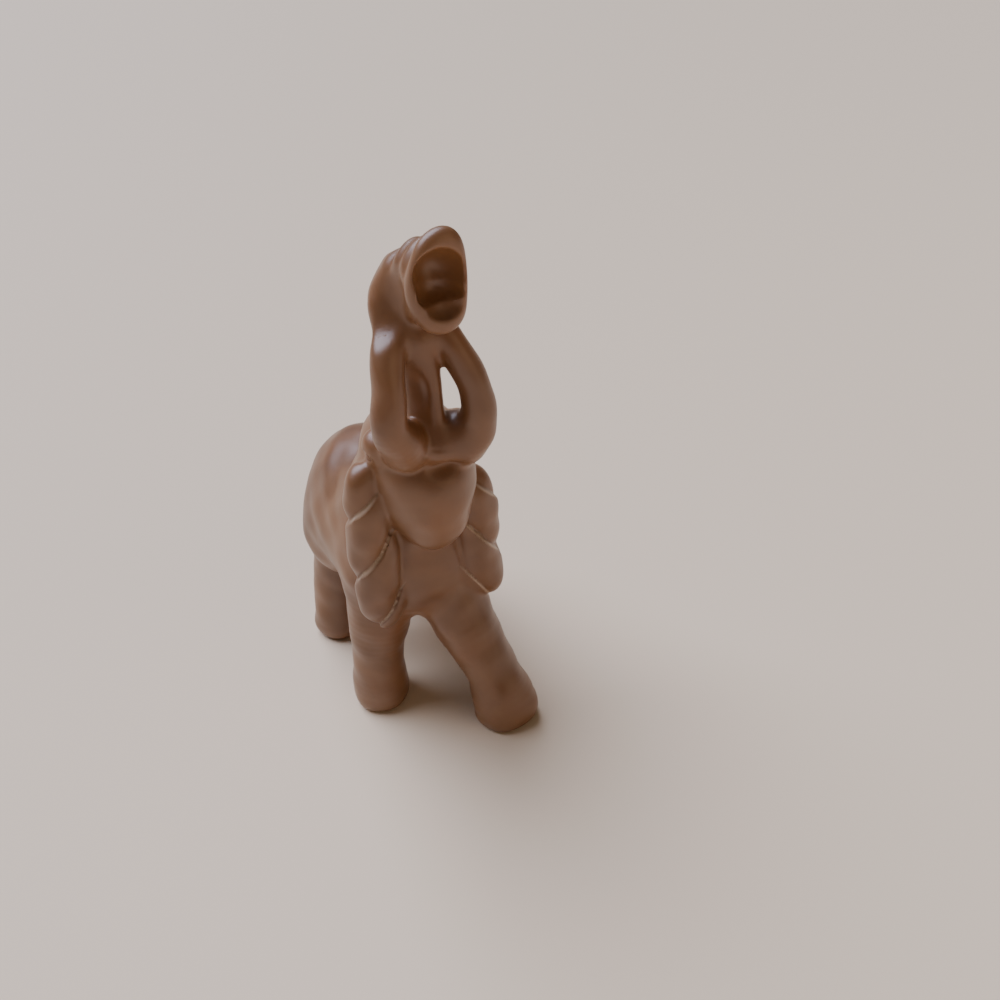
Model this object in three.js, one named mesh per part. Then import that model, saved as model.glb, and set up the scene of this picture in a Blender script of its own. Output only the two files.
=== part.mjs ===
// A soapstone elephant with its trunk raised, carved from one block.
//
// Millimetres, +Z up. The elephant faces -Y and its left side is +X. The origin is on the
// ground, under the middle of the figure's outline.
//
// The figure is a field: each form is a function that gives the distance from a point to its
// surface, negative inside. Forms are blended together and cut out of each other as numbers,
// and one march over the field turns the result into a closed mesh.

import * as THREE from "three";
import { MarchingCubes } from "three/addons/objects/MarchingCubes.js";
import { SimplifyModifier } from "three/addons/modifiers/SimplifyModifier.js";
import { mergeVertices } from "three/addons/utils/BufferGeometryUtils.js";

const { abs, hypot, max, min } = Math;

// ---------- the figure's sizes ----------

const BACK = 57.5; // height of the rump
const BELLY = 26; // height of the belly
const BODY_WIDE = 17.0; // half the width over the hips
const FOOT = 6.4; // radius of a foot
const SOLE_EDGE = 1.2; // how far up a sole's edge is rounded
const TUSK = 3.0; // radius of a tusk at its bend
const TUSK_OUT = 11; // how far a tusk's loop reaches from the middle
const LEAN = -1.9; // how far the trunk leans to the elephant's right
const TRUNK = 3.4; // radius of the trunk between the tusks
const TIP = -33.4; // how far forward the trunk's open end reaches
const FLUTE_DEEP = 1.0; // depth of the ears' flutes
const FLUTES = { right: [59, 45.5, 27.5], left: [55, 42, 27.5] }; // their heights at the outer edge

// ---------- forms ----------

const FAR = 1e3;

// A turned ellipsoid. Its fourth radius, if given, is the one below its middle.
// The turn is in degrees about Z, then Y, then X.
function ball(centre, radii, turn = [0, 0, 0]) {
  const [cx, cy, cz] = centre;
  const [rx, ry, up, down = up] = radii;
  const angles = turn.map(THREE.MathUtils.degToRad);
  const back = new THREE.Matrix4().makeRotationFromEuler(new THREE.Euler(...angles)).transpose().elements;
  return (x, y, z) => {
    const px = x - cx;
    const py = y - cy;
    const pz = z - cz;
    const u = back[0] * px + back[4] * py + back[8] * pz;
    const v = back[1] * px + back[5] * py + back[9] * pz;
    const w = back[2] * px + back[6] * py + back[10] * pz;
    const rz = w < 0 ? down : up;
    const near = hypot(u / rx, v / ry, w / rz);
    const slope = hypot(u / (rx * rx), v / (ry * ry), w / (rz * rz));
    return slope > 1e-9 ? (near * (near - 1)) / slope : -min(rx, ry, rz);
  };
}

// A limb: a round form that follows a smooth curve through [x, y, z, radius] stations.
const STEPS = 7; // straight stretches between two stations
const REACH = 12; // a point further off than this only needs a rough distance
function limb(...stations) {
  const path = new THREE.CatmullRomCurve3(stations.map(([x, y, z]) => new THREE.Vector3(x, y, z)));
  const girth = new THREE.CatmullRomCurve3(stations.map(([, , , r]) => new THREE.Vector3(r, 0, 0)));
  const count = (stations.length - 1) * STEPS;
  const at = [];
  for (let i = 0; i <= count; i++) {
    const p = path.getPoint(i / count);
    at.push([p.x, p.y, p.z, girth.getPoint(i / count).x]);
  }
  const low = [0, 1, 2].map((k) => min(...at.map((a) => a[k] - a[3])));
  const high = [0, 1, 2].map((k) => max(...at.map((a) => a[k] + a[3])));
  return (x, y, z) => {
    const away = hypot(
      max(low[0] - x, 0, x - high[0]),
      max(low[1] - y, 0, y - high[1]),
      max(low[2] - z, 0, z - high[2]),
    );
    if (away > REACH) return away;
    let nearest = FAR;
    for (let i = 0; i < count; i++) {
      const [ax, ay, az, ar] = at[i];
      const [bx, by, bz, br] = at[i + 1];
      const dx = bx - ax;
      const dy = by - ay;
      const dz = bz - az;
      const along = ((x - ax) * dx + (y - ay) * dy + (z - az) * dz) / (dx * dx + dy * dy + dz * dz);
      const t = min(1, max(0, along));
      nearest = min(nearest, hypot(x - ax - t * dx, y - ay - t * dy, z - az - t * dz) - ar - t * (br - ar));
    }
    return nearest;
  };
}

// Two distances blended over a seam of the given width.
function soft(a, b, seam) {
  const h = max(seam - abs(a - b), 0) / seam;
  return min(a, b) - (h * h * seam) / 4;
}

const join = (seam, ...forms) => (x, y, z) => forms.reduce((d, form) => soft(d, form(x, y, z), seam), FAR);
const carve = (form, seam, ...tools) => (x, y, z) =>
  tools.reduce((d, tool) => -soft(-d, tool(x, y, z), seam), form(x, y, z));
const mirrored = (form) => (x, y, z) => form(-x, y, z);

// ---------- body and legs ----------

const rump = ball([0, 12, 38], [BODY_WIDE - 1.4, 19, BACK - 38, 38 - BELLY]);
const hip = ball([9.6, 13.5, 33], [BODY_WIDE - 9.6, 11.5, 14, 9]);
const barrel = ball([0, 0, 39], [14.4, 17, 17, 39 - BELLY]);
const chest = ball([0, -9.5, 42], [12.6, 12, 17, 15.5]);
const torso = join(7, rump, barrel, chest);
const hips = join(3, hip, mirrored(hip));

const foreRight = limb([-6.5, -8, 36, 8], [-8.5, -8.5, 25, 6.9], [-9.9, -8.8, 14, 5.7], [-10.3, -9, 3.4, FOOT]);
const foreLeft = limb([5, -12, 36, 7.6], [6.9, -17, 26, 7], [11, -23.6, 13, 5.9], [12.9, -27, 3.6, FOOT + 1]);
const hindRight = limb([-8.5, 15, 32, 6.5], [-10, 17, 20, 5.9], [-11.1, 17.8, 11, 5.8], [-11.4, 17.6, 3.4, FOOT]);
const hindLeft = limb([8.5, 16, 32, 6.5], [9.6, 20, 20, 5.9], [10.7, 22, 11, 5.8], [11, 22, 3.4, FOOT]);

const tail = limb([0, 25, 50, 2.2], [0, 30, 41, 2], [0.4, 30.4, 33, 1.8], [0.9, 27.4, 25.6, 2.1], [1, 25.4, 22, 1.6]);

// ---------- head, tusks and trunk ----------

const neck = limb([0, -2, 46, 12], [0, -12, 62, 9.5]);
const skull = ball([0, -16.5, 67.5], [8.7, 9.5, 9.5]);
const crown = ball([0, -12.5, 71], [7, 7, 6.5]);
const jaw = ball([0, -19.5, 65], [8.8, 9.8, 9, 10.5], [-14, 0, 0]);
const chin = ball([0.2, -22.2, 57], [5.4, 5.4, 7, 6.4]);
const brow = ball([7, -17.8, 73], [3.1, 3.6, 3.8]);
const head = join(4, skull, crown, join(5, jaw, chin));
const mouth = ball([0.4, -31, 70.2], [4.6, 4.6, 1.5], [12, 0, 0]);
const face = join(6, neck, head);

function tusk(side, lift) {
  return limb(
    [side * 4, -20.5, 71 + lift, 4.2],
    [side * 5.4, -25.4, 74.4 + lift, TUSK + 1.1],
    [side * (TUSK_OUT - TUSK - 0.2) + LEAN * 0.4, -28, 79.6 + lift, TUSK + 0.1],
    [side * (TUSK_OUT - TUSK - 0.8) + LEAN * 0.5, -27.6, 86 + lift / 2, TUSK - 0.3],
    [side * 5 + LEAN, -25.2, 92.8, TUSK - 0.4],
    [side * 3 + LEAN * 1.3, -22.4, 98, TUSK - 0.7],
  );
}

const column = limb(
  [0, -20, 72, 6],
  [-0.6, -21.8, 79, TRUNK - 0.2],
  [-1, -21.4, 86, TRUNK - 0.4],
  [LEAN - 0.1, -21.4, 93, TRUNK + 1],
  [LEAN - 0.6, -20.2, 98.6, TRUNK + 0.9],
  [LEAN + 0.3, -20.8, 102, TRUNK + 0.4],
);
const ridge = limb([0, -26.6, 74.5, 2.6], [0.3, -26, 80, 1.3], [0.3, -25.4, 86, 1.1], [-0.8, -24.6, 93, 2]);
const web = ball([3.8, -25.6, 75.6], [4.4, 4, 4.2]);
const tip = join(
  3,
  ball([-1.5, -22.4, 101.3], [3.8, 5.5, 4.5], [-25, 0, 0]),
  ball([-1.2, -27.6, 103.4], [3.9, 5.8, 6.2], [-12, 4, 0]),
  ball([-1, -33, 104.8], [4.3, 4.4, 6.8]),
  ball([0.5, -33, 108.3], [2.2, 3.6, 3.3]),
  ball([-0.2, -32.8, 101], [3.3, 4, 3.9]),
);
const inFront = (x, y, z) => y - TIP; // all that lies ahead of the trunk's open end
const nostril = ball([-0.8, -36, 105], [3.9, 7, 4.5], [0, 6, 0]);
const lip = ball([-0.5, -36.4, 101.4], [3.1, 4.4, 2.9]);
const curlHollow = ball([-8.2, -25.2, 98.8], [4, 3.5, 6]);

// ---------- ears ----------

// The flutes fan out, so a height is followed along its flute to the ear's outer edge. From one
// flute to the next a leaf rises to a soft crest, falls away, and ends in a short steep riser.
const EDGE = 15; // the ear's outer edge
const SLANT = 0.9; // rise per mm of a flute at height 60
const FAN = 0.02; // how much steeper each mm lower makes it
const CREST = 0.35;
const STEP = 0.3;
const RISER = 1.7; // mm
const SWEEP = 13; // degrees that an ear's flap turns in towards the shoulder
const FOLD = 0.8; // how much a step back along the flap counts as a step out
function fluting(flutes, reach, z) {
  const leaves = [75, ...flutes, 12];
  const inward = EDGE - reach;
  const height = (z - (SLANT + 60 * FAN) * inward) / (1 - FAN * inward);
  const at = leaves.findIndex((leaf, i) => height <= leaf && height > leaves[i + 1]);
  if (at < 0) return 0;
  const long = leaves[at] - leaves[at + 1];
  const u = (leaves[at] - height) / long;
  const foot = 1 - RISER / long;
  if (u > foot) return 1 - ((1 - STEP) * (u - foot)) / (1 - foot);
  return u < CREST ? STEP * (1 - u / CREST) ** 2 : ((u - CREST) / (foot - CREST)) ** 2;
}

const middleLeaf = ball([10.8, -17.6, 51], [4.6, 4, 10]);
const lowerLeaf = ball([10.2, -18.2, 40], [4.9, 3.8, 9.6]);
function ear(flutes, ...forms) {
  const whole = join(4, middleLeaf, lowerLeaf, ...forms);
  return (x, y, z) => {
    const reach = x + max(0, y + 20) * FOLD;
    return whole(x, y, z) + (x > 3 ? FLUTE_DEEP * fluting(flutes, reach, z) : 0);
  };
}
const topRight = ball([10.6, -17.8, 62], [4.4, 3.8, 7.4]);
const flapRight = ball([9.8, -12.6, 51.5], [3, 8, 15.5], [0, 0, SWEEP]);
const topLeft = ball([9.4, -18, 56.5], [4.2, 3.8, 6]);
const flapLeft = ball([10, -12.6, 47], [3, 8, 12.5], [0, 0, SWEEP]);
const lobe = join(2, ball([12.2, -17.8, 38], [4.5, 3.8, 5]), ball([13.2, -18.6, 34.2], [2.8, 3, 3.4]));
const earLeft = join(2, ear(FLUTES.left, topLeft, flapLeft), lobe);
const earRight = mirrored(ear(FLUTES.right, topRight, flapRight));

// ---------- the figure ----------

const ground = (x, y, z) => z;
const body = join(1.2, join(4.5, torso, foreRight, foreLeft, hindRight, hindLeft), hips);
const nose = join(1.6, join(3, column, ridge), join(2, tusk(1, -0.8), web), tusk(-1, 1.4));
const mask = join(1.2, carve(join(1, face, nose), 0.8, mouth), brow, mirrored(brow));
const figure = join(1, join(3, body, mask), earLeft, earRight, tail);
const trumpet = carve(join(2, figure, tip), 1.6, curlHollow);
const hollowed = carve(trumpet, 0.6, inFront, nostril, lip);
const elephant = carve(hollowed, SOLE_EDGE, ground);

// ---------- from the field to a mesh ----------

const GRID = 128; // cells a side: a power of two keeps neighbouring cells' corners identical
const CELL = 1.0; // mm
const LOW = new THREE.Vector3(-26, -44, -2); // the block that the field fills
const HIGH = new THREE.Vector3(26, 38, 118);
const RIM = 2; // empty cells round the block
const MOST = 120000; // triangles that the march has room for

function march(form) {
  const marcher = new MarchingCubes(GRID, new THREE.MeshBasicMaterial(), false, false, MOST);
  marcher.isolation = 0;
  marcher.field.fill(-FAR);
  const cells = HIGH.clone().sub(LOW).divideScalar(CELL).ceil();
  for (let k = 0; k <= cells.z; k++) {
    for (let j = 0; j <= cells.y; j++) {
      for (let i = 0; i <= cells.x; i++) {
        const place = ((k + RIM) * GRID + j + RIM) * GRID + i + RIM;
        marcher.field[place] = -form(LOW.x + i * CELL, LOW.y + j * CELL, LOW.z + k * CELL);
      }
    }
  }
  marcher.update();
  const positions = marcher.positionArray.slice(0, marcher.geometry.drawRange.count * 3);
  const geometry = new THREE.BufferGeometry();
  geometry.setAttribute("position", new THREE.BufferAttribute(positions, 3));
  const half = GRID / 2;
  geometry.scale(half * CELL, half * CELL, half * CELL);
  geometry.translate(...LOW.clone().addScalar((half - RIM) * CELL));
  return mergeVertices(geometry, 1e-4);
}

const FACES = 9600;
const fine = march(elephant);
const spare = fine.attributes.position.count - FACES / 2;
const coarse = await new SimplifyModifier().modify(fine, spare);
coarse.computeBoundingBox();
const middle = coarse.boundingBox.getCenter(new THREE.Vector3());
coarse.translate(-middle.x, -middle.y, 0);

const soapstone = new THREE.MeshStandardMaterial({ color: 0xa98567, roughness: 0.5, metalness: 0 });
const carving = new THREE.Mesh(coarse, soapstone);
carving.name = "elephant";

const root = new THREE.Group();
root.add(carving);
export default root;
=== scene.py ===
# %% [markdown]
# # A soapstone elephant with its trunk raised
#
# The real object is one piece of soapstone, about 112 mm tall. Soapstone is soft enough to
# cut with a knife and a file. It is then sanded wet and rubbed with wax, which leaves a
# satin surface with soft edges.
#
# The scene has one piece. The CAD node gives its size and its main forms in flat triangles
# about 1.5 mm across. The script covers that solid with a fine skin, carves the skin as a
# carver would work over a roughed-out block, and gives it the stone's finish.

from math import radians

import bmesh
import bpy
import numpy as np
from mathutils import Euler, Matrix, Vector


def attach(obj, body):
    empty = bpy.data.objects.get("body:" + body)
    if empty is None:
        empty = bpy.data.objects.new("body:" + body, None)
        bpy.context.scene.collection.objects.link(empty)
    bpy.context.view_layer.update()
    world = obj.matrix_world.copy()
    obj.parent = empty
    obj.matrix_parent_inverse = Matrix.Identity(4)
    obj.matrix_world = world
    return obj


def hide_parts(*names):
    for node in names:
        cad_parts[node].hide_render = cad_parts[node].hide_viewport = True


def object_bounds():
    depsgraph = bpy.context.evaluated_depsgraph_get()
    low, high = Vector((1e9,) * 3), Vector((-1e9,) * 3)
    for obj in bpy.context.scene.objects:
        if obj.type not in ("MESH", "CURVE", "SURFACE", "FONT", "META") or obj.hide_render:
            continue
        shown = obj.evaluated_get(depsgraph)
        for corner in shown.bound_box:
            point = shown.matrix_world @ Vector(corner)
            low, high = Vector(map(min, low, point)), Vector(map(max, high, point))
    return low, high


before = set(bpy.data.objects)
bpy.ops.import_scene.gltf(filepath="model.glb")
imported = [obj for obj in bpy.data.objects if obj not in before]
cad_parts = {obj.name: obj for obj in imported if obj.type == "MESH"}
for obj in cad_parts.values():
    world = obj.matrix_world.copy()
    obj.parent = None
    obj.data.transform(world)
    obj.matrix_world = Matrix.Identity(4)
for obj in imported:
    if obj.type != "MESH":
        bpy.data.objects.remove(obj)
cad_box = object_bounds()
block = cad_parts["elephant"]
MM = 0.001
print("CAD box in mm:", [[round(v / MM, 2) for v in corner] for corner in cad_box])

# %% [markdown]
# ## A fine skin over the solid
#
# A carved stone has one closed surface without seams, so it is one mesh. It could be
# modelled from a sphere with extrusions, but the solid already has every form in its
# place. A copy of it is merged, because its triangles are loose, and the Remesh modifier
# in voxel mode lays an even net of small squares over it. An even net matters more than a
# sparing one here: each vertex will be moved, and detail can appear anywhere.

# %% Copy the solid and lay the net
VOXEL = 0.5 * MM


def bake(piece):
    """Applies a piece's modifiers to its mesh."""
    shaped = bpy.data.meshes.new_from_object(piece.evaluated_get(bpy.context.evaluated_depsgraph_get()))
    piece.modifiers.clear()
    piece.data = shaped


carving = bpy.data.objects.new("elephant_carving", block.data.copy())
bpy.context.collection.objects.link(carving)
skin = bmesh.new()
skin.from_mesh(carving.data)
bmesh.ops.remove_doubles(skin, verts=skin.verts, dist=0.001 * MM)
skin.to_mesh(carving.data)
skin.free()
net = carving.modifiers.new("net", "REMESH")
net.mode = "VOXEL"
net.voxel_size = VOXEL
net.use_smooth_shade = True
bake(carving)
print("net:", len(carving.data.vertices), "vertices,", len(carving.data.polygons), "faces")

# %% [markdown]
# ## Round forms as distances
#
# A carver thinks in round masses that run into each other. Each mass is written here as a
# function that gives the distance from points to its surface, negative inside. Distances
# are easy to blend: the smaller of two joins two forms, and softening that choice over a
# few millimetres leaves the worn valley that sandpaper leaves between two masses.
#
# The functions take all the points at once as three arrays, because numpy is fast only
# with whole arrays. Sizes are in millimetres.

# %% A turned ball
def ball(centre, radii, turn=(0, 0, 0)):
    """An ellipsoid. A fourth radius is the one below its middle. Turned about Z, Y, then X."""
    rx, ry, up = radii[:3]
    down = radii[-1]
    axes = np.array(Euler([radians(a) for a in turn], "ZYX").to_matrix()).T

    def distance(x, y, z):
        u, v, w = axes @ np.stack([x - centre[0], y - centre[1], z - centre[2]])
        rz = np.where(w < 0, down, up)
        near = np.sqrt((u / rx) ** 2 + (v / ry) ** 2 + (w / rz) ** 2)
        slope = np.sqrt((u / rx**2) ** 2 + (v / ry**2) ** 2 + (w / rz**2) ** 2)
        return near * (near - 1) / np.maximum(slope, 1e-9)

    return distance


def probe(form, *point):
    """A form's distance at one point."""
    return round(float(form(*np.array(point, float)[:, None])[0]), 2)


print("from a 2 mm ball to a point 5 mm off its middle:", probe(ball((0, 0, 0), (2, 2, 2)), 5, 0, 0), "mm")

# %% [markdown]
# ## Limbs
#
# Legs, tusks and trunk are round rods that bend and change in girth. A smooth curve runs
# through a few chosen stations, and the rod is cut into short cones along it. The distance
# to the nearest cone is the distance to the limb.

# %% A limb along a smooth curve
STEPS = 7  # straight stretches between two stations
REACH = 12  # a point further off than this only needs a rough distance


def curve(points):
    """Points along a centripetal Catmull-Rom curve, STEPS from one station to the next."""
    p = np.array(points, float)
    p = np.vstack([2 * p[0] - p[1], p, 2 * p[-1] - p[-2]])
    gap = np.sqrt(np.linalg.norm(np.diff(p, axis=0), axis=1))
    gap[gap < 1e-4] = 1
    out = []
    for k in range(1, len(p) - 2):
        before, here, after = gap[k - 1 : k + 2]
        way = (p[k + 1] - p[k]) / here
        start = here * ((p[k] - p[k - 1]) / before - (p[k + 1] - p[k - 1]) / (before + here) + way)
        end = here * (way - (p[k + 2] - p[k]) / (here + after) + (p[k + 2] - p[k + 1]) / after)
        for t in np.arange(STEPS) / STEPS:
            bend = (3 * (p[k + 1] - p[k]) - 2 * start - end) * t**2
            out.append(p[k] + start * t + bend + (2 * (p[k] - p[k + 1]) + start + end) * t**3)
    return np.array(out + [p[-2]])


def limb(*stations):
    """A round form that follows a curve through (x, y, z, radius) stations."""
    path = curve([s[:3] for s in stations])
    girth = curve([(s[3], 0, 0) for s in stations])[:, 0]
    low = (path - girth[:, None]).min(axis=0)
    high = (path + girth[:, None]).max(axis=0)

    def distance(x, y, z):
        points = np.stack([x, y, z], axis=1)
        nearest = np.linalg.norm(np.maximum(0, np.maximum(low - points, points - high)), axis=1)
        close = nearest < REACH
        points = points[close]
        best = np.full(len(points), 1e3)
        for a, b, ra, rb in zip(path, path[1:], girth, girth[1:]):
            t = np.clip((points - a) @ (b - a) / np.dot(b - a, b - a), 0, 1)
            away = np.linalg.norm(points - a - t[:, None] * (b - a), axis=1) - ra - t * (rb - ra)
            best = np.minimum(best, away)
        nearest[close] = best
        return nearest

    return distance


post = limb((0, 0, 0, 3), (0, 0, 10, 2))
print("from a post, 3 mm thick at its foot, to a point 5 mm beside it:", probe(post, 5, 0, 0), "mm")

# %% [markdown]
# ## Joining and carving
#
# Two masses that are joined meet in a valley, and the seam says over how many millimetres
# it is rounded. Carving takes a form away with a tool, with the same kind of soft edge. A
# seam of half a millimetre looks cut, and one of four looks modelled.

# %% Join, carve and mirror
def soft(a, b, seam):
    """The smaller of two distances, rounded where they are nearly equal."""
    h = np.maximum(seam - abs(a - b), 0) / seam
    return np.minimum(a, b) - h * h * seam / 4


def join(seam, *forms):
    """Forms run together."""

    def distance(x, y, z):
        d = forms[0](x, y, z)
        for form in forms[1:]:
            d = soft(d, form(x, y, z), seam)
        return d

    return distance


def carve(form, seam, *tools):
    """A form with tools taken away from it, one after the other."""

    def distance(x, y, z):
        d = form(x, y, z)
        for tool in tools:
            d = -soft(-d, tool(x, y, z), seam)
        return d

    return distance


def mirrored(form):
    """The same form on the other side of the middle."""
    return lambda x, y, z: form(-x, y, z)


print("a point half way down the joint of two posts:", probe(join(4, post, mirrored(post)), 0, 0, 5), "mm")


# %% [markdown]
# ## Body and legs
#
# The body is heaviest over the hips, which overhang the hind legs. The left foreleg steps
# forward, and the right one stands. A carver leaves the legs thick, because thin stone
# legs snap, so they are short posts that widen into round feet without toenails.

# %% Body and legs
BACK = 57.5  # height of the rump
BELLY = 26  # height of the belly
BODY_WIDE = 17.0  # half the width over the hips
FOOT = 6.4  # radius of a foot

rump = ball((0, 12, 38), (BODY_WIDE - 1.4, 19, BACK - 38, 38 - BELLY))
hip = ball((9.6, 13.5, 33), (BODY_WIDE - 9.6, 11.5, 14, 9))
barrel = ball((0, 0, 39), (14.4, 17, 17, 39 - BELLY))
chest = ball((0, -9.5, 42), (12.6, 12, 17, 15.5))
fore_right = limb((-6.5, -8, 36, 8), (-8.5, -8.5, 25, 6.9), (-9.9, -8.8, 14, 5.7), (-10.3, -9, 3.4, FOOT))
fore_left = limb((5, -12, 36, 7.6), (6.9, -17, 26, 7), (11, -23.6, 13, 5.9), (12.9, -27, 3.6, FOOT + 1))
hind_right = limb((-8.5, 15, 32, 6.5), (-10, 17, 20, 5.9), (-11.1, 17.8, 11, 5.8), (-11.4, 17.6, 3.4, FOOT))
hind_left = limb((8.5, 16, 32, 6.5), (9.6, 20, 20, 5.9), (10.7, 22, 11, 5.8), (11, 22, 3.4, FOOT))
tail = limb(
    (0, 25, 50, 2.2), (0, 30, 41, 2), (0.4, 30.4, 33, 1.8), (0.9, 27.4, 25.6, 2.1), (1, 25.4, 22, 1.6)
)

torso = join(7, rump, barrel, chest)
forelegs = join(0.8, fore_right, fore_left)
legs = join(4.5, join(3, torso, forelegs), hind_right, hind_left)
body = join(1.2, legs, join(3, hip, mirrored(hip)))

print("the rump is", BACK, "mm high and", 2 * BODY_WIDE, "mm wide, the belly is", BELLY, "mm up")

# %% [markdown]
# ## Head, tusks and trunk
#
# The tusks are thick loops that rise from the jaw and run back into the trunk, like the
# handles of a jug: free points of stone would break off. The trunk rises between them,
# bends forward and ends in a flattened trumpet, whose mouth is scooped out.

# %% Head
neck = limb((0, -2, 46, 12), (0, -12, 62, 9.5))
skull = ball((0, -16.5, 67.5), (8.7, 9.5, 9.5))
crown = ball((0, -12.5, 71), (7, 7, 6.5))
jaw = ball((0, -19.5, 65), (8.8, 9.8, 9, 10.5), (-14, 0, 0))
chin = ball((0.2, -22.2, 57), (5.4, 5.4, 7, 6.4))
EYE = (9.2, -18.4, 70.8)
EYE_TILT = (-18, 0, 0)
brow = ball((7.3, -18.4, 72.2), (3.3, 3.6, 3.6))
socket = ball((10.6, -18.2, 70.9), (1.9, 2.2, 1.2), EYE_TILT)
eyeball = ball(EYE, (1.0, 1.3, 0.8), EYE_TILT)
mouth = ball((0.4, -31, 70.2), (4.6, 4.6, 1.5), (12, 0, 0))
face = join(6, neck, join(4, skull, crown, join(5, jaw, chin)))

print("from the head's surface to the middle of the eye:", probe(face, *EYE), "mm")

# %% [markdown]
# The tusks differ a little, because they were carved by eye: the right one is higher. The
# trunk's forward bend is five balls run together. Its end is a flat cut, hollowed by three
# scoops that leave low steps on the floor of the mouth, where a gouge turned.

# %% Tusks and trunk
TUSK = 3.0  # radius of a tusk at its bend
TUSK_OUT = 11  # how far a tusk's loop reaches from the middle
LEAN = -1.9  # how far the trunk leans to the elephant's right
TRUNK = 3.4  # radius of the trunk between the tusks
TIP = -33.4  # how far forward the trunk's open end reaches
CREASES = (-19.6, -22.8, -26.2, -29.4)  # where creases cross the top of the bend
CREASE_DEEP = 0.4
CREASE_WIDE = 0.9
CREASES_FROM = 101  # the creases begin at this height


def tusk(side, lift):
    out = TUSK_OUT - TUSK
    return limb(
        (side * 4, -20.5, 71 + lift, 4.2),
        (side * 5.4, -25.4, 74.4 + lift, TUSK + 1.1),
        (side * (out - 0.2) + LEAN * 0.4, -28, 79.6 + lift, TUSK + 0.1),
        (side * (out - 0.8) + LEAN * 0.5, -27.6, 86 + lift / 2, TUSK - 0.3),
        (side * 5 + LEAN, -25.2, 92.8, TUSK - 0.4),
        (side * 3 + LEAN * 1.3, -22.4, 98, TUSK - 0.7),
    )


column = limb(
    (0, -20, 72, 6),
    (-0.6, -21.8, 79, TRUNK - 0.2),
    (-1, -21.4, 86, TRUNK - 0.4),
    (LEAN - 0.3, -21.4, 93, TRUNK + 1.1),
    (LEAN - 0.9, -20.2, 98.6, TRUNK + 1.1),
    (LEAN + 0.3, -20.8, 102, TRUNK + 0.4),
)
ridge = limb((0, -26.6, 74.5, 2.6), (0.3, -26, 80, 1.3), (0.3, -25.4, 86, 1.1), (-0.8, -24.6, 93, 2))
web = ball((3.8, -25.6, 75.6), (4.4, 4, 4.2))
bend = join(
    3,
    ball((-1.5, -22.4, 101.3), (3.8, 5.5, 4.5), (-25, 0, 0)),
    ball((-1.2, -27.6, 103.4), (3.9, 5.8, 6.2), (-12, 4, 0)),
    ball((-1, -33, 104.8), (4.3, 4.4, 6.8)),
    ball((0.5, -33, 108.3), (2.2, 3.6, 3.3)),
    ball((-0.2, -32.8, 101), (3.3, 4, 3.9)),
)
nostril = ball((-1, -36.2, 105.5), (4.35, 7.8, 4.3), (0, 6, 0))
shelf = ball((-0.9, -34.4, 103.1), (3.7, 5.4, 2.3))
lip = ball((-0.5, -36.6, 101.3), (3.8, 5.2, 2.7))
curl_hollow = ball((-8, -25.8, 100.2), (3.8, 3.3, 4.9))


def tip(x, y, z):
    """The bend of the trunk, with the creases across its top."""
    on_top = np.clip((z - CREASES_FROM) / 4, 0, 1)
    creases = sum(np.exp(-(((y - at) / CREASE_WIDE) ** 2)) for at in CREASES)
    return bend(x, y, z) + CREASE_DEEP * on_top * creases


def in_front(x, y, z):
    """Everything past the flat cut that ends the trunk."""
    return y - TIP


nose = join(1.6, join(3, column, ridge), join(2, tusk(1, -0.8), web), tusk(-1, 1.4))
brows = join(1.2, carve(join(1, face, nose), 0.8, mouth), brow, mirrored(brow))
mask = join(0.3, carve(brows, 0.4, socket, mirrored(socket)), eyeball, mirrored(eyeball))
print("the trunk is", 2 * TRUNK, "mm thick, the tusks", 2 * TUSK, "mm, with", len(CREASES), "creases")

# %% [markdown]
# ## Fluted ears
#
# The ears are the showpiece of the carving. Each hangs down the shoulder in four leaves
# that lie over each other like feathers. A leaf rises to a soft crest, falls away, and
# ends in a small sharp ledge where the next leaf comes out from under it. The ledges are
# where a knife was drawn across, so they stay crisp and catch the light. The flutes fan
# out from the head, so the height that counts is the one where a flute meets the ear's
# outer edge.

# %% Ears
FLUTE_DEEP = 1.0  # depth of the flutes
LEDGE = 0.7  # width of a ledge
EDGE = 15  # the ear's outer edge
SLANT = 0.9  # rise per mm of a flute at the height SLANT_AT
SLANT_AT = 60
FAN = 0.02  # how much steeper each mm lower makes it
CREST = 0.35  # where the crest lies on a leaf
UNDERCUT = 0.3  # how deep a leaf starts under the last one
EAR_TOP = 75  # the first leaf's upper line
EAR_BOTTOM = 12  # the last leaf's lower line
FLUTES_LEFT = (55, 42, 27.5)  # heights of the lines between the leaves
FLUTES_RIGHT = (59, 45.5, 27.5)
SWEEP = 13  # degrees that an ear's flap turns in towards the shoulder
FOLD = 0.8  # how much a step back along the flap counts as a step out


def flute_height(reach, z):
    """The height at which the flute through a point meets the ear's outer edge."""
    inward = EDGE - reach
    return (z - (SLANT + SLANT_AT * FAN) * inward) / (1 - FAN * inward)


def ear_reach(x, y):
    """How far out along the ear a point lies, counting its flap's way back."""
    return x + np.maximum(0, y + 20) * FOLD


def fluting(flutes, reach, z):
    """How deep the leaves lie, from 0 at a crest to 1 at the foot of a leaf."""
    height = flute_height(reach, z)
    depth = np.zeros_like(z)
    for top, bottom in zip([EAR_TOP, *flutes], [*flutes, EAR_BOTTOM]):
        u = (top - height) / (top - bottom)
        foot = 1 - LEDGE / (top - bottom)
        rise = UNDERCUT * (1 - u / CREST) ** 2
        fall = ((u - CREST) / (foot - CREST)) ** 2
        ledge = 1 - (1 - UNDERCUT) * (u - foot) / (1 - foot)
        leaf = np.where(u < CREST, rise, np.where(u < foot, fall, ledge))
        depth = np.where((u >= 0) & (u < 1), leaf, depth)
    return depth


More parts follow.
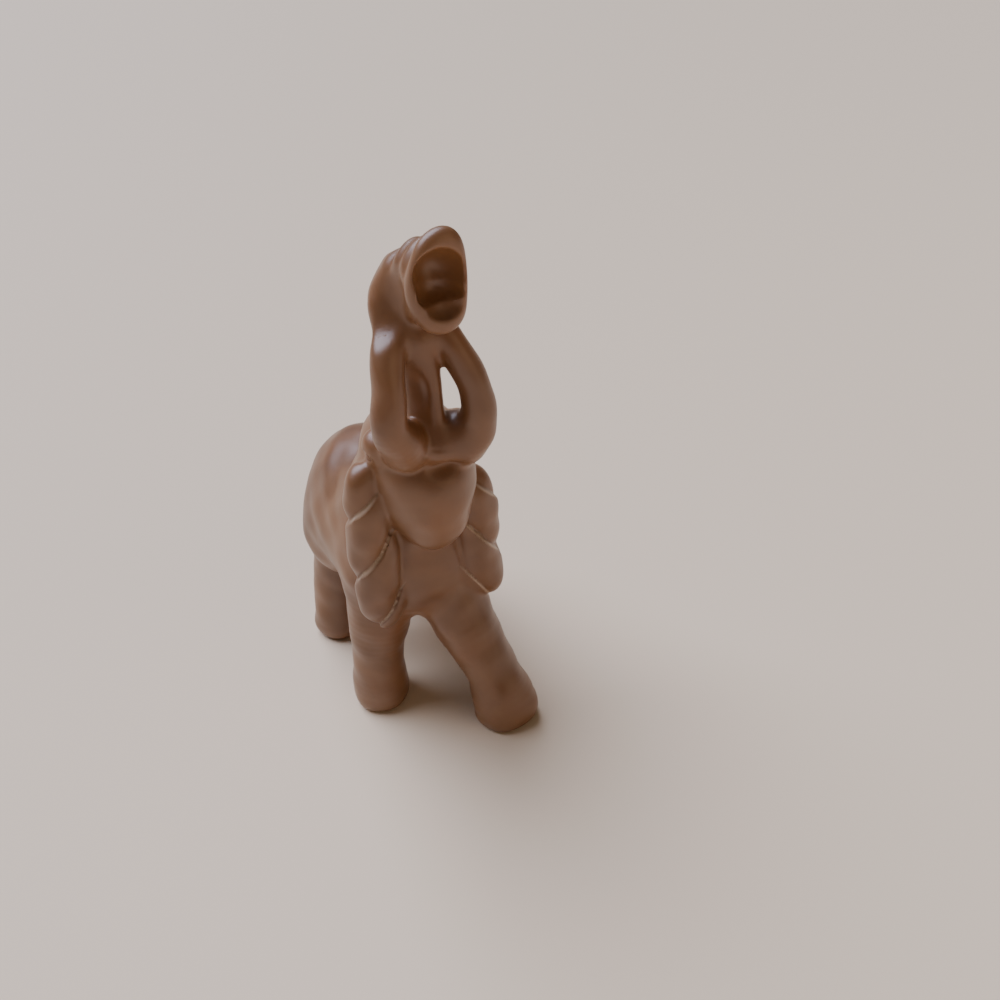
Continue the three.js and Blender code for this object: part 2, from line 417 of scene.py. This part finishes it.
middle_leaf = ball((10.8, -17.6, 51), (4.6, 4, 10))
lower_leaf = ball((10.2, -18.2, 40), (4.9, 3.8, 9.6))


def ear(flutes, *forms):
    """A left ear of some forms, with its flutes."""
    whole = join(4, middle_leaf, lower_leaf, *forms)

    def distance(x, y, z):
        depth = FLUTE_DEEP * fluting(flutes, ear_reach(x, y), z)
        return whole(x, y, z) + np.where(x > 3, depth, 0)

    return distance


top_right = ball((10.6, -17.8, 62), (4.4, 3.8, 7.4))
flap_right = ball((9.8, -12.6, 51.5), (3, 8, 15.5), (0, 0, SWEEP))
top_left = ball((9.4, -18, 56.5), (4.2, 3.8, 6))
flap_left = ball((10, -12.6, 47), (3, 8, 12.5), (0, 0, SWEEP))
lobe = join(2, ball((12.2, -17.8, 38), (4.5, 3.8, 5)), ball((13.2, -18.6, 34.2), (2.8, 3, 3.4)))
ear_left = join(2, ear(FLUTES_LEFT, top_left, flap_left), lobe)
ear_right = mirrored(ear(FLUTES_RIGHT, top_right, flap_right))
print("lines between the leaves, left and right, in mm up:", FLUTES_LEFT, FLUTES_RIGHT)

# %% [markdown]
# ## Drawing the skin onto the forms
#
# The forms now meet in one function. Every vertex of the net is moved straight down its
# slope until the distance is zero, as in Newton's method: the slope comes from the
# distances at four points close round the vertex. The vertices start within a millimetre
# of where they belong, so three rounds are plenty.

# %% The whole figure
SOLE_EDGE = 1.2  # how far up a sole's edge is rounded
FILE_MARKS = 0.22  # how deep the waves left by the file are
FILE_WAVES = (  # the way each wave runs, in radians per mm, and where it starts
    ((0.9, 0.4, 0.2), 0.3),
    ((-0.3, 0.8, 0.5), 2.1),
    ((0.5, -0.6, 0.7), 4.0),
    ((0.2, 0.3, -1.0), 5.2),
)
MIDDLE = np.array([1.257, -0.447, 0])  # the frame's origin, measured from the head's middle line


def ground(x, y, z):
    """Everything below the floor."""
    return z


def filed(form):
    """A form with the faint waves that files and sandpaper leave."""

    def distance(x, y, z):
        swell = sum(np.sin(a * x + b * y + c * z + start) for (a, b, c), start in FILE_WAVES)
        return form(x, y, z) + FILE_MARKS * swell / len(FILE_WAVES)

    return distance


figure = join(1, join(3, body, mask), ear_left, ear_right, tail)
trumpet = carve(join(2, figure, tip), 3, curl_hollow)
ended = carve(filed(trumpet), 2.4, in_front)
hollowed = carve(ended, 0.5, nostril, shelf, lip)
elephant = carve(hollowed, SOLE_EDGE, ground)
print("from the middle of the body to its surface:", probe(elephant, 0, 5, 42), "mm")

# %% [markdown]
# The slope is measured over a distance that is small beside every detail. A step is at
# most 0.6 mm, so that a vertex near a thin wall can't jump to its other side.

# %% Move the vertices
TINY = 0.04  # how far off the four points lie
LONGEST = 0.6  # longest step
AROUND = np.array([(1, -1, -1), (-1, -1, 1), (-1, 1, -1), (1, 1, 1)])


def vertices(piece):
    """A piece's vertices as rows of x, y and z, in metres."""
    places = np.empty(len(piece.data.vertices) * 3, np.float32)
    piece.data.vertices.foreach_get("co", places)
    return places.reshape(-1, 3).astype(float)


def settle(piece, rounds):
    """Draws a piece's vertices onto the elephant."""
    points = vertices(piece) / MM + MIDDLE
    for turn in range(rounds):
        near = [elephant(*(points + TINY * way).T) for way in AROUND]
        slope = sum(d[:, None] * way for d, way in zip(near, AROUND)) / (4 * TINY)
        away = sum(near) / 4
        step = slope * (away / np.maximum((slope**2).sum(axis=1), 0.2))[:, None]
        size = np.linalg.norm(step, axis=1)
        points -= step * np.minimum(1, LONGEST / np.maximum(size, 1e-9))[:, None]
    distances = f"mean {abs(away).mean():.4f} mm, largest {abs(away).max():.3f} mm"
    print(f"{piece.name}: {len(points)} vertices, distance {distances}")
    piece.data.vertices.foreach_set("co", ((points - MIDDLE) * MM).astype(np.float32).ravel())
    piece.data.update()


settle(carving, 3)

# %% [markdown]
# The ledges, the eyes and the rim of the trunk are sharper than the net. Where two faces
# meet at more than a slight angle, their edge is cut in half, and the new vertices are
# settled too. The net gets fine only where the stone has detail.

# %% Refine the net where it bends
SHARP = 13  # degrees
net = bmesh.new()
net.from_mesh(carving.data)
bent = [e for e in net.edges if e.is_manifold and e.calc_face_angle() > radians(SHARP)]
beside = {edge for e in bent for face in e.link_faces for edge in face.edges}
bmesh.ops.subdivide_edges(net, edges=list(beside), cuts=1, use_grid_fill=True)
bmesh.ops.triangulate(net, faces=[f for f in net.faces if len(f.verts) > 4])
net.to_mesh(carving.data)
print("bent edges:", len(bent), "triangles:", sum(len(f.verts) - 2 for f in net.faces))
net.free()
settle(carving, 3)

# %% [markdown]
# ## The piece takes the solid's place
#
# The finished skin is stretched by a few hundredths of a millimetre, so that it fills the
# same box as the solid, and its soles lie on the floor. Then it replaces the solid.

# %% Keep the size of the solid
low, high = (np.array(corner) for corner in cad_box)
points = vertices(carving)
span = points.max(axis=0) - points.min(axis=0)
points = (points - points.min(axis=0)) * ((high - low) / span) + low
carving.data.vertices.foreach_set("co", points.astype(np.float32).ravel())
carving.data.update()
carving.data.shade_smooth()
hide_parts("elephant")
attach(carving, "root")
print("span before fitting to the solid's box:", (span / MM).round(2), "after:", ((high - low) / MM).round(2))

# %% [markdown]
# ## Painted highlights on the ledges
#
# The ledges of the ears catch the light from above, and that light is painted into the
# colour as a pale line along each ledge: a painted highlight, not a mark in the stone. The
# lines fade towards the head. Each vertex keeps a number for it in an attribute, and the
# material reads it. An attribute follows the real ledge, which a pattern in space could not do.

# %% Paint highlights on the ledges
HIGHLIGHT_WIDE = 0.3  # half the width of a line
FADE = 2  # a line fades in and out over this reach
LINE_TO = 16  # the reach at which every line has ended


def painted_ledge_highlights(flutes, reach, z):
    """1 in the middle of each ledge, and 0 away from it."""
    height = flute_height(reach, z)
    above = [height - line for line in flutes]
    on_ledge = [(up >= 0) * np.exp(-(((up - LEDGE / 2) / HIGHLIGHT_WIDE) ** 2)) for up in above]
    from_head = 5.5 + 3.5 * np.clip((z - 50) / 12, 0, 1)
    begins = np.clip((reach - from_head) / FADE, 0, 1)
    ends = np.clip((LINE_TO - reach) / FADE, 0, 1)
    return begins * ends * sum(on_ledge)


# A painted highlight along each ear ledge, kept per vertex in an attribute.
x, y, z = (vertices(carving) / MM + MIDDLE).T
highlight_amount = np.zeros_like(x)
for side, flutes in ((1, FLUTES_LEFT), (-1, FLUTES_RIGHT)):
    on_ear = (side * x > 5) & (y < -12) & (z > 30) & (z < 66)
    highlight_amount += on_ear * painted_ledge_highlights(flutes, ear_reach(side * x, y), z)
attribute = carving.data.attributes.new("painted_ledge_highlight", "FLOAT", "POINT")
attribute.data.foreach_set("value", highlight_amount.astype(np.float32))
print("vertices on the knife lines:", int((highlight_amount > 0.3).sum()))

# %% [markdown]
# ## Soapstone
#
# Soapstone is mostly talc, soft enough for a knife and a file. This one is a tan-brown
# stone, sanded wet and rubbed with wax, which darkens it and gives it a low sheen.
#
# It is built from noise in the object's own space, because the stone's clouds run through
# the block and a carver cuts across them. Noise has no grid and no repeat to give it away.

# %% Helpers for the material
def colour(code):
    """An sRGB hex colour as linear RGBA."""
    parts = [int(code[i : i + 2], 16) / 255 for i in (1, 3, 5)]
    return [c / 12.92 if c <= 0.04045 else ((c + 0.055) / 1.055) ** 2.4 for c in parts] + [1]


def add(tree, kind, settings=None, links=None):
    """Adds a node, sets its values by attribute or socket name, and links its inputs."""
    node = tree.nodes.new(kind)
    for name, value in (settings or {}).items():
        if isinstance(name, int) or name in node.inputs:
            node.inputs[name].default_value = value
        else:
            setattr(node, name, value)
    for name, source in (links or {}).items():
        tree.links.new(source, node.inputs[name])
    return node


stone = bpy.data.materials.new("soapstone_sanded_and_waxed")
stone.use_nodes = True
tree = stone.node_tree
shader = tree.nodes["Principled BSDF"]
place = add(tree, "ShaderNodeTexCoord").outputs["Object"]


def grain(size_mm, detail, **more):
    """Noise whose blobs are about the given size."""
    settings = {"Scale": 0.5 / (size_mm * MM), "Detail": detail, **more}
    return add(tree, "ShaderNodeTexNoise", settings, {"Vector": place}).outputs["Fac"]


def ramp(source, low, high):
    """0 below low, 1 above high."""
    settings = {"From Min": low, "From Max": high}
    return add(tree, "ShaderNodeMapRange", settings, {"Value": source}).outputs["Result"]


def tint(base, code, amount, where):
    """A colour with another laid over it: up to the amount, where a pattern is 1."""
    part = add(tree, "ShaderNodeMath", {"operation": "MULTIPLY", 1: amount}, {0: where})
    layers = add(tree, "ShaderNodeMix", {"data_type": "RGBA", 7: colour(code)}, {0: part.outputs[0]})
    if isinstance(base, str):
        layers.inputs[6].default_value = colour(base)
    else:
        tree.links.new(base, layers.inputs[6])
    return layers.outputs[2]


print("material:", stone.name)

# %% [markdown]
# Clouds a centimetre or two wide make the body of the stone uneven, and rusty patches warm
# it. Dark flecks under a millimetre show that it is stone and not clay. The painted
# highlight on the ledges of the ears is nearly white.

# %% Colour
clouds = ramp(grain(16, 4, Roughness=0.6, Distortion=0.6), 0.35, 0.68)
rust = ramp(grain(7, 3), 0.45, 0.7)
flecks = ramp(grain(0.8, 4, Roughness=0.7), 0.6, 0.75)
# The pale line along the ear ledges is a painted highlight, not a mark in the stone.
painted_highlight = add(tree, "ShaderNodeAttribute", {"attribute_name": "painted_ledge_highlight"}).outputs["Fac"]
stone_colour = tint("#6f492c", "#8e6542", 1, clouds)
stone_colour = tint(stone_colour, "#8d5624", 0.35, rust)
stone_colour = tint(stone_colour, "#6a4630", 0.3, flecks)
# Lays the painted highlight on the ear ledges over the stone's colour.
stone_colour = tint(stone_colour, "#e0c9ae", 0.55, painted_highlight)
tree.links.new(stone_colour, shader.inputs["Base Color"])
print("nodes for the colour:", len(tree.nodes))

# %% [markdown]
# Talc refracts at about 1.57. The wax is a thin coat that is a little smoother than the
# stone, so a highlight has a bright middle and a wide dull edge. Light passes a millimetre
# or so under the surface, more of the red than of the blue, which softens thin edges.

# %% Sheen
rough = add(tree, "ShaderNodeMapRange", {"To Min": 0.34, "To Max": 0.5}, {"Value": grain(3, 4)})
tree.links.new(rough.outputs["Result"], shader.inputs["Roughness"])
sheen = {
    "IOR": 1.57,
    "Coat Weight": 0.25,
    "Coat Roughness": 0.3,
    "Subsurface Weight": 0.12,
    "Subsurface Scale": 1.2 * MM,
    "Subsurface Radius": (1.0, 0.5, 0.25),
}
for socket, value in sheen.items():
    shader.inputs[socket].default_value = value
print("sheen:", sheen)

# %% [markdown]
# Sandpaper leaves ripples a millimetre or two long, and the last grit leaves a fine tooth.
# Both are too shallow for the mesh, and they break up the highlights.

# %% Ripples and scratches
settings = {"Strength": 0.35, "Distance": 0.12 * MM}
ripple = add(tree, "ShaderNodeBump", settings, {"Height": grain(1.6, 3)})
settings = {"Strength": 0.2, "Distance": 0.03 * MM}
links = {"Height": grain(0.35, 2), "Normal": ripple.outputs["Normal"]}
scratches = add(tree, "ShaderNodeBump", settings, links)
tree.links.new(scratches.outputs["Normal"], shader.inputs["Normal"])
carving.data.materials.clear()
carving.data.materials.append(stone)
print("nodes in all:", len(tree.nodes))

# %% [markdown]
# ## Floor, light and camera
#
# The floor is plain and pale, so it throws a soft warm light up under the belly and the
# jaw. It is so wide that its edge never shows.

# %% Floor
FLOOR = 12  # half the floor's width, in metres
sheet = bmesh.new()
bmesh.ops.create_grid(sheet, x_segments=1, y_segments=1, size=FLOOR)
floor = bpy.data.objects.new("floor", bpy.data.meshes.new("floor"))
sheet.to_mesh(floor.data)
sheet.free()
bpy.context.collection.objects.link(floor)
paint = bpy.data.materials.new("matt_painted_floor")
paint.use_nodes = True
coat = paint.node_tree.nodes["Principled BSDF"]
coat.inputs["Base Color"].default_value = colour("#efdabd")
coat.inputs["Roughness"].default_value = 0.7
floor.data.materials.append(paint)
print("floor:", 2 * FLOOR, "m wide")

# %% [markdown]
# The main light is a wide cool sky above and behind, as from a window: it lights the
# rump, the ears' ledges and the top of the trunk, and leaves the front in soft shade. A
# weak warm box in front keeps the shade from going black.

# %% Lights
def lamp(name, kind, place, aim, energy, hue):
    """A lamp at a place that shines at another. Its energy is in W, or in W/m2 for a sun."""
    light = bpy.data.lights.new(name, kind)
    light.energy = energy
    light.color = colour(hue)[:3]
    holder = bpy.data.objects.new(name, light)
    holder.location = place
    holder.rotation_euler = (Vector(aim) - Vector(place)).to_track_quat("-Z", "Y").to_euler()
    bpy.context.collection.objects.link(holder)
    return light


fill = lamp("front_fill", "AREA", (0.35, -0.7, 0.35), (0, 0, 0.055), 0.8, "#ffdcb8")
fill.size = 0.6
sky = lamp("window_sky", "SUN", (-0.35, 0.6, 1.0), (0, 0, 0), 4.8, "#e3e8ff")
sky.angle = radians(55)
world = bpy.data.worlds.new("room")
world.use_nodes = True
room = world.node_tree.nodes["Background"]
room.inputs["Color"].default_value = colour("#e6dccf")
room.inputs["Strength"].default_value = 0.12
bpy.context.scene.world = world
print("lamps:", [light.name for light in bpy.data.lights])

# %% [markdown]
# The camera stands close in front of the elephant, to its right, and looks down on it from
# above the trunk, through a wide lens.

# %% Camera
LENS = 27.36  # mm, on a sensor 36 mm wide
EYE_AT = (-0.04296, -0.12695, 0.1414)
LOOKS = (0.382, 0.719, -0.581)
view = bpy.data.cameras.new("camera")
view.lens = LENS
view.sensor_width = 36
camera = bpy.data.objects.new("camera", view)
camera.location = EYE_AT
camera.rotation_euler = Vector(LOOKS).to_track_quat("-Z", "Y").to_euler()
bpy.context.collection.objects.link(camera)
bpy.context.scene.camera = camera
print("camera", round(Vector(EYE_AT).length / MM), "mm from the middle of the feet")
